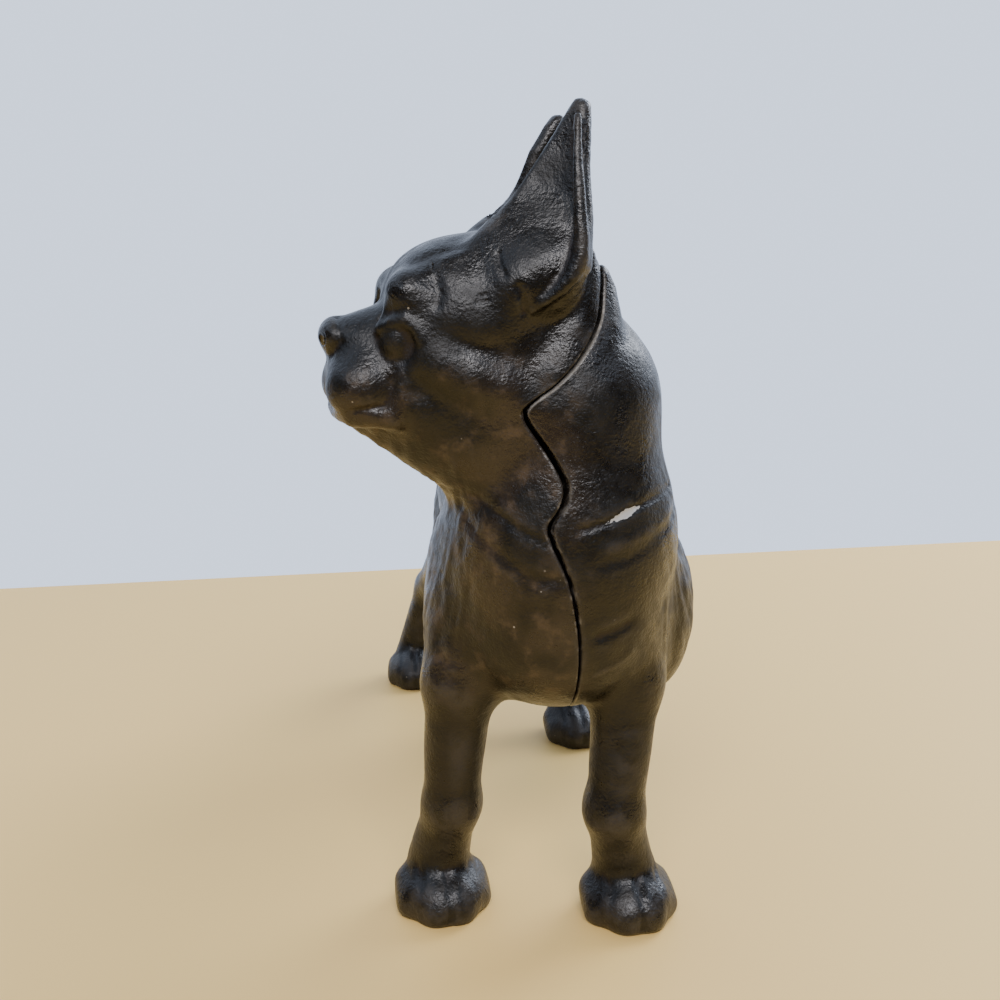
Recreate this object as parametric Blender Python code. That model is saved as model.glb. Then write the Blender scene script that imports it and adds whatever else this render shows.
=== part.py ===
"""A standing terrier in cast iron, made as two half castings that meet along a wavy parting line.

Metres, +Z up. The dog's chest looks along -Y and its head is turned to its own right, towards -X.
The form is given in hundredths of the statue's length, so it keeps its pose when LENGTH changes.
"""
import math

import bmesh
import bpy
import numpy as np
from mathutils import Euler, Matrix, Vector

# Driving dimensions, in metres
LENGTH = 0.250
PARTING_GAP = 0.0003
OPEN_GAP = 0.0019
CAGE_VOXEL = 0.0025
FORM_VOXEL = 0.0018
MOST_TRIANGLES = 7900

# Old black paint, linear colour
PAINT_COLOUR = (0.020, 0.017, 0.016, 1)
PAINT_ROUGHNESS = 0.42
# Faces that meet at more than this keep a sharp edge between them
SHARP_ANGLE = math.radians(50)

# Sliding a point onto the form: how often, the step its slope is read over, the least slope, the longest move
SLIDES = 6
SLOPE_STEP = 0.05
LEAST_STEEPNESS = 0.2
LONGEST_SLIDE = 1.2

# One hundredth of the length, and the middle of the footprint in those hundredths
SHARE = LENGTH / 100
FOOTPRINT_MIDDLE = (-5.3, 9.1)

# The parting line as (z, x) pairs: down the throat and breast, and down the nape and back
FRONT_PARTING = [(0, -0.6), (28, -0.9), (32.4, -1.15), (39.8, -1.5), (43.5, -2.1), (46.6, -2.8), (49.9, -4.1),
                 (51.8, -4.9), (53.4, -5.05), (54.8, -4.05), (57.6, -3.2), (59.8, -4.1), (62.9, -6.1),
                 (64.6, -7.2), (65.7, -7.6), (66.6, -7.0), (67.5, -5.8), (68.3, -4.6), (69.4, -3.3),
                 (70.8, -1.9), (72.4, -0.6), (74, 0.5), (75.6, 1.3), (77.7, 1.8), (79.8, 2.1), (82, 2.2),
                 (90, 4.5), (104, 7)]
BACK_PARTING = [(0, 0), (28, 0), (60, 0), (66, 0.2), (72, 0.8), (77.7, 1.8), (82, 2.2), (90, 4.5), (104, 7)]
# How far the throat's parting has sprung open, 0 to 1, as (z, share) pairs
OPENNESS = [(28, 0), (40, 0.2), (47, 0.4), (52, 0.7), (55, 1), (63, 1), (66, 0.6), (69, 0.4), (76, 0.6), (80, 0.6),
            (84, 0.3), (100, 0)]
# Where the parting changes from the throat's line to the back's line
PARTING_BLEND = (-32, -18)
# The cutting block's grid: its places along the dog, its height, its steps up it and how far it reaches sideways
BLOCK_PLACES = (-52, -32, -28.5, -25, -21.5, -18, 64)
BLOCK_TALL = 104
BLOCK_STEPS = 72
BLOCK_REACH = 60

# The head is shaped looking straight along -X about its own middle plane, then resized, turned and set on the neck
HEAD_SEAT = (-7.3, -27.8, 4.3)
HEAD_TURN = 1.5
HEAD_SIZE = 0.95
# How round the edges of the ears are, and how far their cage stands past them
EDGE_ROUND = 0.7
CAGE_MARGIN = 1.8
# How far the skin is blown out before it slides back onto the form, so that thin edges stay whole
BLOWN_OUT = 0.6

MIRROR = np.diag((1.0, -1.0, 1.0))
ACROSS = (1, 0, 0)


def turned(degrees):
    return np.array(Euler([math.radians(angle) for angle in degrees]).to_matrix())


def ball(centre, radii, blend, turn=(0, 0, 0), carve=False):
    """An ellipsoid. blend is how far it melts into the form before it, turn is in degrees."""
    return {"centre": np.array(centre, float), "radii": np.array(radii, float), "axes": turned(turn),
            "blend": blend, "carve": carve}


def limb(start, end, radii, blend, flat=None, carve=False):
    """A tapered round bar between two points. flat is (direction, times thinner that way)."""
    return chain([start, end], radii, blend, carve, flat and (flat[0], (flat[1],)))


def chain(points, radii, blend, carve=False, flat=None):
    """Tapered bars end to end, such as a rim or a groove. flat is (direction, times thinner for each bar)."""
    if flat:
        flat = (np.array(flat[0], float), flat[1])
    return {"line": np.array(points, float), "radii": np.array(radii, float), "blend": blend, "flat": flat,
            "carve": carve}


def blade(centre, outline, thick, lean, dish, blend, turn):
    """A bent plate with an outline of (across, up) points, leaning with height and dished across."""
    mass = ball(centre, (12, 12, 12), blend, turn)
    mass["outline"] = np.array(outline, float)
    mass["thick"], mass["lean"], mass["dish"] = thick, lean, dish
    return mass


def moved(mass, turn, shift=(0, 0, 0), size=1):
    """A copy of a mass or a fold, resized, turned or reflected (a 3 x 3 matrix) and shifted."""
    copy = dict(mass)
    for key in ("centre", "line"):
        if key in mass:
            copy[key] = size * mass[key] @ turn.T + shift
    if "axes" in mass:
        copy["axes"] = turn @ mass["axes"]
    if mass.get("flat"):
        copy["flat"] = (turn @ mass["flat"][0], mass["flat"][1])
    for key in ("radii", "blend", "width", "depth", "outline", "thick"):
        if key in mass:
            copy[key] = size * np.array(mass[key])
    return copy


def both_sides(masses):
    """The masses and their mirror images across the middle plane, y = 0."""
    return [copy for mass in masses for copy in (mass, moved(mass, MIRROR))]


def torso():
    return [
        ball((-1.0, -24.4, 46), (14.6, 16.0, 16.0), 0),
        ball((-1.4, -23, 36.6), (11.6, 15.0, 9.0), 5),
        ball((-0.4, -4, 49.5), (12.4, 20, 14.0), 6),
        ball((0, -9, 57), (9, 11, 8.5), 5),
        ball((0, 14, 51.0), (10.0, 15, 11.2), 6),
        ball((0, 28.5, 51.5), (8.8, 12.5, 11.5), 6),
        limb((0, 38.5, 56), (0.4, 43.0, 52.5), (2.6, 1.7), 3),
    ]


def shoulders():
    return [
        ball((11.4, -20, 38.0), (6.6, 8.5, 12), 4, turn=(-12, 0, 0)),
        ball((-10.4, -21, 39), (6.2, 8.5, 12), 4, turn=(-12, 0, 0)),
    ]


def neck():
    """The column of the neck, and the rolls of skin on both sides of the parting behind the ear."""
    left_roll = [(0.8, -31.0, 82.0), (1.8, -31.2, 80.3), (2.3, -31.0, 78.4), (2.3, -31.8, 76.6),
                 (1.9, -33.2, 74.6), (1.0, -34.2, 72.8), (0.0, -35.2, 71.0)]
    right_roll = [(0.5, -32.8, 82.5), (0.2, -33.4, 79.0), (-0.6, -34.0, 76.8), (-1.3, -34.7, 74.6),
                  (-2.1, -35.2, 72.6), (-3.2, -35.8, 70.6)]
    return [
        limb((-0.8, -27.6, 54), (-0.7, -27.4, 65), (12.0, 10.9), 5),
        limb((-0.9, -27.2, 66), (-2.3, -27.2, 77.6), (9.7, 4.7), 4),
        chain(left_roll, (0.9, 1.3, 1.4, 1.4, 1.2, 0.9, 0.5), 2.5),
        chain(right_roll, (0.8, 1.2, 1.2, 1.1, 0.9, 0.5), 2.5),
    ]


def cranium():
    """Skull, forehead and jaw in the head's own frame, where x runs back and y sideways."""
    middle = [
        ball((-7.0, 0, 75.6), (10.6, 9.3, 9.4), 3),
        ball((-13.4, 0, 76.3), (8.3, 8.6, 7.9), 3),
        ball((-8.5, 0, 66), (9.8, 9.5, 8.6), 4),
        limb((-23.4, 0, 64.0), (-10, 0, 61.2), (3.0, 8.4), 3),
    ]
    cheek = [(-18.4, 5.8, 71.0), (-15.5, 6.8, 70.0), (-12.5, 7.3, 68.6), (-9.5, 7.4, 67.4), (-6.5, 6.8, 65.8)]
    sides = both_sides([
        ball((-18.9, 4.9, 77.8), (2.9, 2.9, 3.0), 1.5, turn=(20, 0, 0)),
        ball((-17.0, 4.6, 73.4), (4.0, 3.7, 4.6), 2),
        ball((-11.4, 5.5, 72.8), (7.4, 3.0, 3.6), 2.5),
        ball((-17.6, 4.4, 65.4), (4.6, 3.4, 4.0), 2.5),
        ball((-10.6, 6.2, 77.0), (6.4, 2.7, 4.8), 1.4, turn=(35, 0, 0)),
        chain(cheek, (2.2, 2.9, 3.1, 3.0, 2.6), 1.8),
    ])
    return middle + sides


def muzzle():
    lips = [(-27.0, 1.4, 64.3), (-25.5, 4.2, 63.9), (-23.0, 5.6, 64.0), (-21.0, 6.0, 63.7)]
    jowl = [(-20.3, 6.2, 69.8), (-19.9, 6.4, 67.8), (-20.3, 6.2, 65.6), (-21.3, 6.0, 64.2)]
    middle = [
        ball((-21.9, 0, 69.3), (6.5, 6.0, 6.0), 2),
        limb((-26.3, 0, 73.0), (-19, 0, 74.2), (2.2, 2.8), 1.5, flat=((0, 1, 0), 0.72)),
    ]
    sides = both_sides([
        ball((-24.3, 3.5, 67.1), (4.4, 3.8, 4.0), 1.6),
        chain(lips, (1.1, 1.2, 1.2, 1.0), 1.3),
        chain(jowl, (0.7, 0.9, 0.9, 0.8), 1.8),
    ])
    nose = [ball((-27.3, 0, 72.9), (1.9, 2.8, 2.2), 0.9)]
    nostrils = both_sides([ball((-29.0, 1.5, 72.9), (0.9, 0.8, 0.9), 0.6, carve=True)])
    return middle + sides + nose + nostrils


def eyes():
    """A socket, the ball of the eye standing out of it, its upper lid and the ridge from the lid to the brow."""
    upper_lid = [(-22.3, 5.2, 74.0), (-21.2, 6.4, 74.9), (-19.8, 7.2, 75.1), (-18.6, 7.7, 74.2), (-18.0, 7.9, 73.1)]
    ridge = [(-20.6, 4.9, 77.7), (-21.4, 5.0, 76.3), (-22.2, 5.1, 74.4)]
    return both_sides([
        ball((-21.0, 7.5, 72.3), (2.3, 2.0, 2.8), 0.8, carve=True),
        ball((-20.4, 5.8, 72.8), (1.9, 2.0, 2.7), 0.3),
        chain(upper_lid, (0.5, 0.6, 0.65, 0.6, 0.5), 0.9),
        chain(ridge, (0.5, 0.5, 0.4), 0.9),
    ])


def ear(inner_edge, top):
    """One ear: a dished blade, the lobe under it and the rolled rim."""
    outline = [*inner_edge, (-1.7, top), (-1.2, top - 0.3), (-0.2, 8.0), (1.3, 2.0), (2.1, -3.0), (-1.0, -6.5)]
    rim = [(-0.2, 8.3, 97.4), (-0.4, 8.9, 94.6), (-0.5, 9.6, 92.0), (-0.5, 10.2, 89.4), (-0.5, 10.8, 86.8),
           (-0.4, 11.3, 84.2), (-0.6, 11.6, 82.2), (-1.5, 11.7, 80.0), (-2.8, 11.5, 78.4), (-4.5, 11.1, 77.1),
           (-6.2, 10.4, 76.0)]
    return [
        blade((-0.5, 8.5, 84.0), outline, 0.2, -0.24, 0.055, 2.4, turn=(0, 0, 47.8)),
        ball((-4.6, 8.4, 79.6), (5.0, 3.0, 3.2), 2.6, turn=(0, -28, 0)),
        chain(rim, (0.7, 0.8, 0.9, 1.0, 1.0, 1.1, 1.1, 1.0, 0.9, 0.8, 0.6), 1.0),
    ]


def ears():
    near = ear([(-7.1, -4.0), (-7.0, 3.3), (-6.0, 6.8), (-4.5, 10.2), (-2.2, 14.2)], 15.0)
    far = ear([(-5.0, -4.0), (-4.9, 3.3), (-4.5, 6.8), (-3.8, 10.2), (-2.4, 13.0)], 13.9)
    return [moved(mass, MIRROR) for mass in near] + far


def set_on_neck(masses):
    """Head masses resized, turned about the seat, the point over which the head turns, and set on the neck."""
    turn = turned((0, 0, HEAD_TURN))
    from_seat = np.array((-6.0, 0, 0))
    return [moved(mass, turn, HEAD_SEAT - HEAD_SIZE * turn @ from_seat, HEAD_SIZE) for mass in masses]


def head():
    return set_on_neck(cranium() + muzzle() + eyes() + ears())


def paw(heel, turn, width, length):
    """A paw with four toes, pointing along -Y from its heel before it is turned."""
    toes = []
    for place, reach in ((-0.72, 0.66), (-0.26, 0.90), (0.26, 0.90), (0.72, 0.66)):
        knuckle = (place * width * 0.92, -0.42 * length * reach, 2.9)
        tip = (place * width, -length * reach + 1.7, 1.2)
        toes.append(limb(knuckle, tip, (0.30 * width, 0.27 * width), 0.9))
    pad = [ball((0, -0.42 * length, 1.9), (0.93 * width, 0.50 * length, 4.2), 2)]
    matrix = turned((0, 0, turn))
    return [moved(mass, matrix, np.array((*heel, 0))) for mass in pad + toes]


def fore_leg(elbow, wrist, heel, turn):
    """Upper arm, forearm, the wrist with its bump on the inner side, pastern and paw."""
    inner = -1 if wrist[0] > 0 else 1
    return [
        limb((0.75 * elbow[0], elbow[1] + 2, 40), (*elbow, 31), (6.4, 4.6), 2.5),
        limb((*elbow, 31), (*wrist, 15), (4.3, 3.4), 2),
        ball((wrist[0] + 0.7 * inner, wrist[1] + 0.8, 15.2), (3.1, 3.3, 3.6), 1.5),
        limb((*wrist, 14), (heel[0], heel[1] - 3.4, 6), (3.3, 3.9), 2),
        *paw(heel, turn, 6.1, 12.2),
    ]


def hind_leg(hip, stifle, hock, heel, turn):
    """Thigh, second thigh, hock and paw. Points are (x, y, z), the heel (x, y)."""
    hip, stifle, hock = np.array(hip), np.array(stifle), np.array(hock)
    lean = math.degrees(math.atan2(stifle[1] - hip[1], hip[2] - stifle[2]))
    return [
        ball(hip + 0.42 * (stifle - hip), (4.7, 10.8, 13.0), 4, turn=(lean, 0, 0)),
        limb(hip + 0.8 * (stifle - hip), stifle, (6.0, 6.0), 4, flat=(ACROSS, 1.3)),
        limb(stifle, hock, (6.0, 4.1), 3, flat=(ACROSS, 1.3)),
        ball(hock + (0, 0.9, 0.3), (3.0, 3.5, 3.3), 1.5),
        limb(hock, (heel[0], heel[1] - 2.6, 5.5), (3.3, 3.4), 1.5),
        *paw(heel, turn, 5.1, 12.0),
    ]


def legs():
    return (fore_leg((-13.3, -26.0), (-14.6, -26.2), (-15.9, -20.0), 3)
            + fore_leg((6.9, -29.5), (5.3, -32.0), (7.2, -25.8), 3)
            + hind_leg((-3.5, 29.5, 52), (-4.0, 34.5, 33), (-6.9, 55.0, 18.0), (-10.5, 59.0), -4)
            + hind_leg((3.6, 29.5, 52), (5.6, 21.5, 33.5), (9.8, 32.5, 18.5), (13.0, 28.0), 4))


def all_masses():
    return torso() + shoulders() + neck() + head() + legs()


def crease(points, width, depth):
    """A fold pressed into the surface along a line of points, or a ridge where depth is negative."""
    return {"line": np.array(points, float), "width": width, "depth": depth}


def creases():
    """The throat's folds, the skin folds over the chest and shoulders, and the hollows of the breast."""
    return [
        crease([(-16.0, -28.8, 57.2), (-14.3, -34.4, 55.3), (-11.4, -38.4, 54.4), (-9.8, -40.0, 53.2),
                (-5.9, -40.8, 51.6)], 1.0, 0.5),
        crease([(-14.2, -31.2, 54.5), (-13.2, -34.4, 52.0), (-11.4, -37.6, 49.9), (-8.5, -40.0, 47.8)], 1.1, 0.5),
        crease([(-1.8, -40, 52.4), (1.2, -39.5, 52.9), (4.0, -38, 53.9), (9.4, -32, 54.9)], 1.0, 0.6),
        crease([(0.6, -40.4, 48.9), (4.0, -39.5, 49.4), (8.1, -35.2, 51.4)], 1.2, 0.4),
        crease([(-8.8, -41.6, 47.4), (-6.1, -42.0, 47.8), (-4.0, -42.4, 47.4)], 1.3, 0.4),
        crease([(1.2, -41.6, 39.9), (3.0, -41.2, 40.2), (5.2, -40.0, 41.0)], 1.2, 0.5),
    ]


def from_bar(points, ends, radii):
    """Offsets from the middle of the nearest ball that rolls from one end to the other, and that ball's radius."""
    start, end = ends
    length = np.linalg.norm(end - start)
    offset = points - start
    level = offset @ (end - start) / length
    aside = np.sqrt(np.maximum((offset ** 2).sum(axis=1) - level ** 2, 0))
    taper = np.clip((radii[0] - radii[1]) / length, -0.9, 0.9)
    along = np.clip((level - aside * taper / math.sqrt(1 - taper ** 2)) / length, 0, 1)
    return offset - along[:, None] * (end - start), radii[0] + along * (radii[1] - radii[0])


def past_outline(places, outline):
    """Distance of (across, up) places to a closed outline, negative inside it."""
    nearest = np.full(len(places), np.inf)
    inside = np.zeros(len(places), bool)
    for start, end in zip(outline, np.roll(outline, -1, axis=0)):
        nearest = np.minimum(nearest, np.linalg.norm(from_line(places, start, end)[1], axis=1))
        spans = (start[1] > places[:, 1]) != (end[1] > places[:, 1])
        slant = (end[0] - start[0]) / (end[1] - start[1] if end[1] != start[1] else 1)
        inside ^= spans & (places[:, 0] < start[0] + slant * (places[:, 1] - start[1]))
    return np.where(inside, -nearest, nearest)


def distance(mass, points):
    """Distance in shares from points (N, 3) to the surface of one mass, negative inside."""
    if "centre" in mass:
        local = (points - mass["centre"]) @ mass["axes"]
    if "outline" in mass:
        bend = local[:, 1] - mass["lean"] * local[:, 2] - mass["dish"] * local[:, 0] ** 2
        past_face = np.abs(bend) - mass["thick"]
        past_edge = past_outline(local[:, [0, 2]], mass["outline"])
        outside = np.hypot(np.maximum(past_face, 0), np.maximum(past_edge, 0))
        return outside + np.minimum(np.maximum(past_face, past_edge), 0) - EDGE_ROUND
    if "centre" in mass:
        near = np.linalg.norm(local / mass["radii"], axis=1)
        slope = np.linalg.norm(local / mass["radii"] ** 2, axis=1)
        return near * (near - 1) / np.maximum(slope, 1e-9)
    nearest = np.full(len(points), np.inf)
    for bar in range(len(mass["line"]) - 1):
        aside, radius = from_bar(points, mass["line"][bar:bar + 2], mass["radii"][bar:bar + 2])
        if mass["flat"]:
            direction, thinner = mass["flat"]
            aside = aside + (aside @ direction)[:, None] * direction * (thinner[bar] - 1)
        nearest = np.minimum(nearest, np.linalg.norm(aside, axis=1) - radius)
    return nearest


def from_line(points, start, end):
    """How far along a straight line each point lies, 0 to 1, and its offset from the line."""
    axis = end - start
    along = np.clip((points - start) @ axis / (axis @ axis), 0, 1)
    return along, points - start - along[:, None] * axis


def melt(one, other, blend):
    """The smaller of two distances, rounded over where they are within blend of each other."""
    overlap = np.maximum(blend - np.abs(one - other), 0)
    return np.minimum(one, other) - overlap ** 2 / (4 * max(blend, 1e-9))


def form(points, masses, folds=()):
    """Distance in shares from points to the whole figure: masses melted together, carvings taken out."""
    whole = np.full(len(points), 1e3)
    for mass in masses:
        if mass["carve"]:
            whole = -melt(-whole, distance(mass, points), mass["blend"])
        else:
            whole = melt(whole, distance(mass, points), mass["blend"])
    for fold in folds:
        whole = whole + fold["depth"] * np.exp(-(from_chain(points, fold["line"]) / fold["width"]) ** 2)
    return whole


def from_chain(points, corners):
    """Distance from points to a line through the corners."""
    spans = [np.linalg.norm(from_line(points, *span)[1], axis=1) for span in zip(corners, corners[1:])]
    return np.min(spans, axis=0)


def slid(points, masses, folds=()):
    """Points moved along the form's slope until they lie on its surface."""
    for _ in range(SLIDES):
        here = form(points, masses, folds)
        slope = np.stack([(form(points + SLOPE_STEP * axis, masses, folds) - here) / SLOPE_STEP
                          for axis in np.eye(3)], axis=1)
        steepness = np.maximum((slope ** 2).sum(axis=1), LEAST_STEEPNESS)
        move = slope * (here / steepness)[:, None]
        length = np.linalg.norm(move, axis=1, keepdims=True)
        points = points - move * np.minimum(1, LONGEST_SLIDE / np.maximum(length, 1e-9))
    return points


def add_ball(mesh, mass):
    """An ellipsoid in a bmesh, in shares."""
    matrix = (Matrix.Translation(mass["centre"]) @ Matrix(mass["axes"].tolist()).to_4x4()
              @ Matrix.Diagonal((*mass["radii"], 1)))
    made = bmesh.ops.create_icosphere(mesh, subdivisions=3, radius=1, matrix=matrix)
    if matrix.determinant() < 0:
        bmesh.ops.reverse_faces(mesh, faces=list({face for vert in made["verts"] for face in vert.link_faces}))


def add_bar(mesh, start, end, radii, direction, thinner):
    """Two balls joined by a cone in a bmesh, flattened along the direction."""
    before = len(mesh.verts)
    start, end = Vector(start), Vector(end)
    for place, radius in zip((start, end), radii):
        bmesh.ops.create_icosphere(mesh, subdivisions=2, radius=radius, matrix=Matrix.Translation(place))
    along = (end - start).to_track_quat("Z", "Y").to_matrix().to_4x4()
    bmesh.ops.create_cone(mesh, cap_ends=True, segments=24, radius1=radii[0], radius2=radii[1],
                          depth=(end - start).length, matrix=Matrix.Translation((start + end) / 2) @ along)
    mesh.verts.ensure_lookup_table()
    for vert in mesh.verts[before:]:
        vert.co -= Vector(direction) * (vert.co - start).dot(Vector(direction)) * (1 - 1 / thinner)


def add_blade(mesh, mass):
    """A bent plate in a bmesh: its outline filled, cut into strips, given its thickness and bent."""
    plate = bmesh.new()
    middle = mass["outline"].mean(axis=0)
    outward = mass["outline"] - middle
    outward = outward * (1 + CAGE_MARGIN / np.linalg.norm(outward, axis=1, keepdims=True))
    corners = [plate.verts.new((across, 0, up)) for across, up in middle + outward]
    plate.faces.new(corners)
    low, high = mass["outline"].min(axis=0), mass["outline"].max(axis=0)
    for axis, first, last in ((0, low[0], high[0]), (2, low[1], high[1])):
        for place in np.arange(first + 1.5, last, 1.5):
            normal = Vector((1, 0, 0)) if axis == 0 else Vector((0, 0, 1))
            bmesh.ops.bisect_plane(plate, geom=plate.verts[:] + plate.edges[:] + plate.faces[:],
                                   plane_co=normal * place, plane_no=normal)
    grown = bmesh.ops.extrude_face_region(plate, geom=plate.faces[:])["geom"]
    thick = mass["thick"] + EDGE_ROUND + CAGE_MARGIN / 4
    back = {part for part in grown if isinstance(part, bmesh.types.BMVert)}
    for vert in plate.verts:
        bend = mass["lean"] * vert.co.z + mass["dish"] * vert.co.x ** 2
        vert.co.y = bend + (thick if vert in back else -thick)
    places = np.array([vert.co for vert in plate.verts]) @ mass["axes"].T + mass["centre"]
    for vert, place in zip(plate.verts, places):
        vert.co = place
    bmesh.ops.recalc_face_normals(plate, faces=plate.faces)
    made = bpy.data.meshes.new("plate")
    plate.to_mesh(made)
    plate.free()
    mesh.from_mesh(made)
    bpy.data.meshes.remove(made)


def add_mass(mesh, mass):
    """The mass itself in a bmesh, in shares."""
    if "outline" in mass:
        add_blade(mesh, mass)
    elif "centre" in mass:
        add_ball(mesh, mass)
    else:
        direction, thinner = mass["flat"] or (ACROSS, [1] * len(mass["line"]))
        bars = zip(mass["line"], mass["line"][1:], mass["radii"], mass["radii"][1:], thinner)
        for start, end, first, last, times in bars:
            add_bar(mesh, start, end, (first, last), direction, times)


def new_object(name, mesh):
    data = bpy.data.meshes.new(name)
    mesh.to_mesh(data)
    mesh.free()
    made = bpy.data.objects.new(name, data)
    bpy.context.scene.collection.objects.link(made)
    return made


def applied(thing):
    """Replaces an object's mesh by what its modifiers make of it."""
    graph = bpy.context.evaluated_depsgraph_get()
    thing.data = bpy.data.meshes.new_from_object(thing.evaluated_get(graph))
    thing.modifiers.clear()


def relaxed(thing, times):
    """Evens out the ripples of the skin."""
    relax = thing.modifiers.new("relaxed", "SMOOTH")
    relax.factor = 0.5
    relax.iterations = times
    applied(thing)


def remeshed(thing, voxel):
    """One closed skin of even faces round everything in the mesh."""
    modifier = thing.modifiers.new("even faces", "REMESH")
    modifier.mode = "VOXEL"
    modifier.voxel_size = voxel
    relaxed(thing, 2)


def slide_mesh(thing, masses, folds):
    """Slides every vertex of the mesh onto the figure's surface."""
    place = np.empty(len(thing.data.vertices) * 3)
    normal = np.empty(len(place))
    thing.data.vertices.foreach_get("co", place)
    thing.data.vertices.foreach_get("normal", normal)
    blown_out = (place / SHARE + BLOWN_OUT * normal).reshape(-1, 3)
    moved_to = slid(blown_out, masses, folds) * SHARE
    thing.data.vertices.foreach_set("co", moved_to.ravel())
    thing.data.update()


def whole_figure():
    """The undivided dog: masses joined, fused to one skin, and slid onto the melted form."""
    masses = all_masses()
    folds = creases()
    for fold in folds:
        fold["line"] = slid(fold["line"], masses)
    mesh = bmesh.new()
    for mass in masses:
        if not mass["carve"]:
            add_mass(mesh, mass)
    bmesh.ops.scale(mesh, vec=(SHARE, SHARE, SHARE), verts=mesh.verts)
    figure = new_object("figure", mesh)
    for voxel in (CAGE_VOXEL, FORM_VOXEL):
        remeshed(figure, voxel)
        slide_mesh(figure, masses, folds)
    return figure


def smooth_step(value, start, end):
    share = np.clip((value - start) / (end - start), 0, 1)
    return share * share * (3 - 2 * share)


def curve_through(knots, at):
    """A smooth curve through (place, value) knots, read at the given places."""
    places, values = np.array(knots, float).T
    slopes = np.gradient(values, places)
    span = np.clip(np.searchsorted(places, at) - 1, 0, len(places) - 2)
    width = places[span + 1] - places[span]
    t = np.clip((at - places[span]) / width, 0, 1)
    rise = values[span + 1] - values[span]
    ease = 3 * t ** 2 - 2 * t ** 3
    return (values[span] + rise * ease
            + width * (slopes[span] * (t ** 3 - 2 * t ** 2 + t) + slopes[span + 1] * (t ** 3 - t ** 2)))


def parting(y, z):
    """Where the parting lies across the dog, and half its gap, in shares."""
    back = smooth_step(y, *PARTING_BLEND)
    middle = curve_through(FRONT_PARTING, z) * (1 - back) + curve_through(BACK_PARTING, z) * back
    openness = np.interp(z, *np.array(OPENNESS).T) * (1 - back)
    gap = PARTING_GAP + (OPEN_GAP - PARTING_GAP) * openness
    return middle, gap / 2 / SHARE


def half_block(side):
    """The space of one half casting: above the floor, and to one side of the parting (-1 right, 1 left)."""
    mesh = bmesh.new()
    cells = len(BLOCK_PLACES) - 1
    bmesh.ops.create_grid(mesh, x_segments=cells, y_segments=BLOCK_STEPS, size=0.5)
    for vert in mesh.verts:
        y = BLOCK_PLACES[round((vert.co.x + 0.5) * cells)]
        z = (vert.co.y + 0.5) * BLOCK_TALL
        middle, half_gap = parting(y, z)
        vert.co = (middle + side * half_gap, y, z)
    grown = bmesh.ops.extrude_face_region(mesh, geom=list(mesh.faces))["geom"]
    for vert in grown:
        if isinstance(vert, bmesh.types.BMVert):
            vert.co.x = side * BLOCK_REACH
    bmesh.ops.recalc_face_normals(mesh, faces=mesh.faces)
    bmesh.ops.scale(mesh, vec=(SHARE, SHARE, SHARE), verts=mesh.verts)
    block = new_object("half block", mesh)
    block.hide_render = True
    block.display_type = "WIRE"
    return block


def with_fewer_faces(figure):
    """Keeps triangles only where the form bends."""
    relaxed(figure, 1)
    faces = sum(len(face.vertices) - 2 for face in figure.data.polygons)
    fewer = figure.modifiers.new("fewer faces", "DECIMATE")
    fewer.ratio = MOST_TRIANGLES / faces
    applied(figure)


def half(name, figure, side):
    """One half casting, cut from the undivided figure by its block and set over the footprint's middle."""
    casting = bpy.data.objects.new(name, figure.data.copy())
    bpy.context.scene.collection.objects.link(casting)
    block = half_block(side)
    cut = casting.modifiers.new("parting", "BOOLEAN")
    cut.operation = "INTERSECT"
    cut.solver = "EXACT"
    cut.object = block
    applied(casting)
    bpy.data.objects.remove(block)
    x, y = FOOTPRINT_MIDDLE
    casting.data.transform(Matrix.Translation((-x * SHARE, -y * SHARE, 0)))
    casting.data.shade_smooth()
    casting.data.set_sharp_from_angle(angle=SHARP_ANGLE)
    return casting


def black_paint(name):
    """Old black paint on cast iron, worn to a dull sheen."""
    paint = bpy.data.materials.new(name)
    paint.use_nodes = True
    shader = paint.node_tree.nodes["Principled BSDF"]
    shader.inputs["Base Color"].default_value = PAINT_COLOUR
    shader.inputs["Roughness"].default_value = PAINT_ROUGHNESS
    shader.inputs["Metallic"].default_value = 0
    return paint


def main():
    for thing in list(bpy.data.objects):
        bpy.data.objects.remove(thing)
    figure = whole_figure()
    with_fewer_faces(figure)
    for name, side in (("right_half", -1), ("left_half", 1)):
        casting = half(name, figure, side)
        casting.data.materials.clear()
        casting.data.materials.append(black_paint(name + " paint"))
    bpy.data.objects.remove(figure)


main()
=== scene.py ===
# %% [markdown]
# # A cast-iron terrier
# The statue is a standing terrier, cast in iron as two half shells that meet along a wavy line, and painted
# black long ago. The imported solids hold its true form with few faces. This lesson gives that form its fine
# surface: the face, the folds of the skin, the coat, the toes and the old paint.

# %% Load the frame
import math

import bmesh
import bpy
import numpy as np
from mathutils import Euler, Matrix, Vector


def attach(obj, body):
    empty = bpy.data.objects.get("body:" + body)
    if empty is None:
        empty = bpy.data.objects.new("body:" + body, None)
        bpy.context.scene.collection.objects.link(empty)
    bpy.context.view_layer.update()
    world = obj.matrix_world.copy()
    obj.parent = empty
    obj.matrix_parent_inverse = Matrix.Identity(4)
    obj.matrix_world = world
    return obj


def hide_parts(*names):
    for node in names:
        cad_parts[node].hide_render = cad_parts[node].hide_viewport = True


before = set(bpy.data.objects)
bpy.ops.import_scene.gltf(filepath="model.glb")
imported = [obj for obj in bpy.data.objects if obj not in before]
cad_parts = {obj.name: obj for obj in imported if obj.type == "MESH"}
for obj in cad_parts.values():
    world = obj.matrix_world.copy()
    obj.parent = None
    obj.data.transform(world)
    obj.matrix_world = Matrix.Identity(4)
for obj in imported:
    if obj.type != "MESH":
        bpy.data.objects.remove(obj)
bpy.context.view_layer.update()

print("frame nodes:", sorted(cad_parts))

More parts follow.
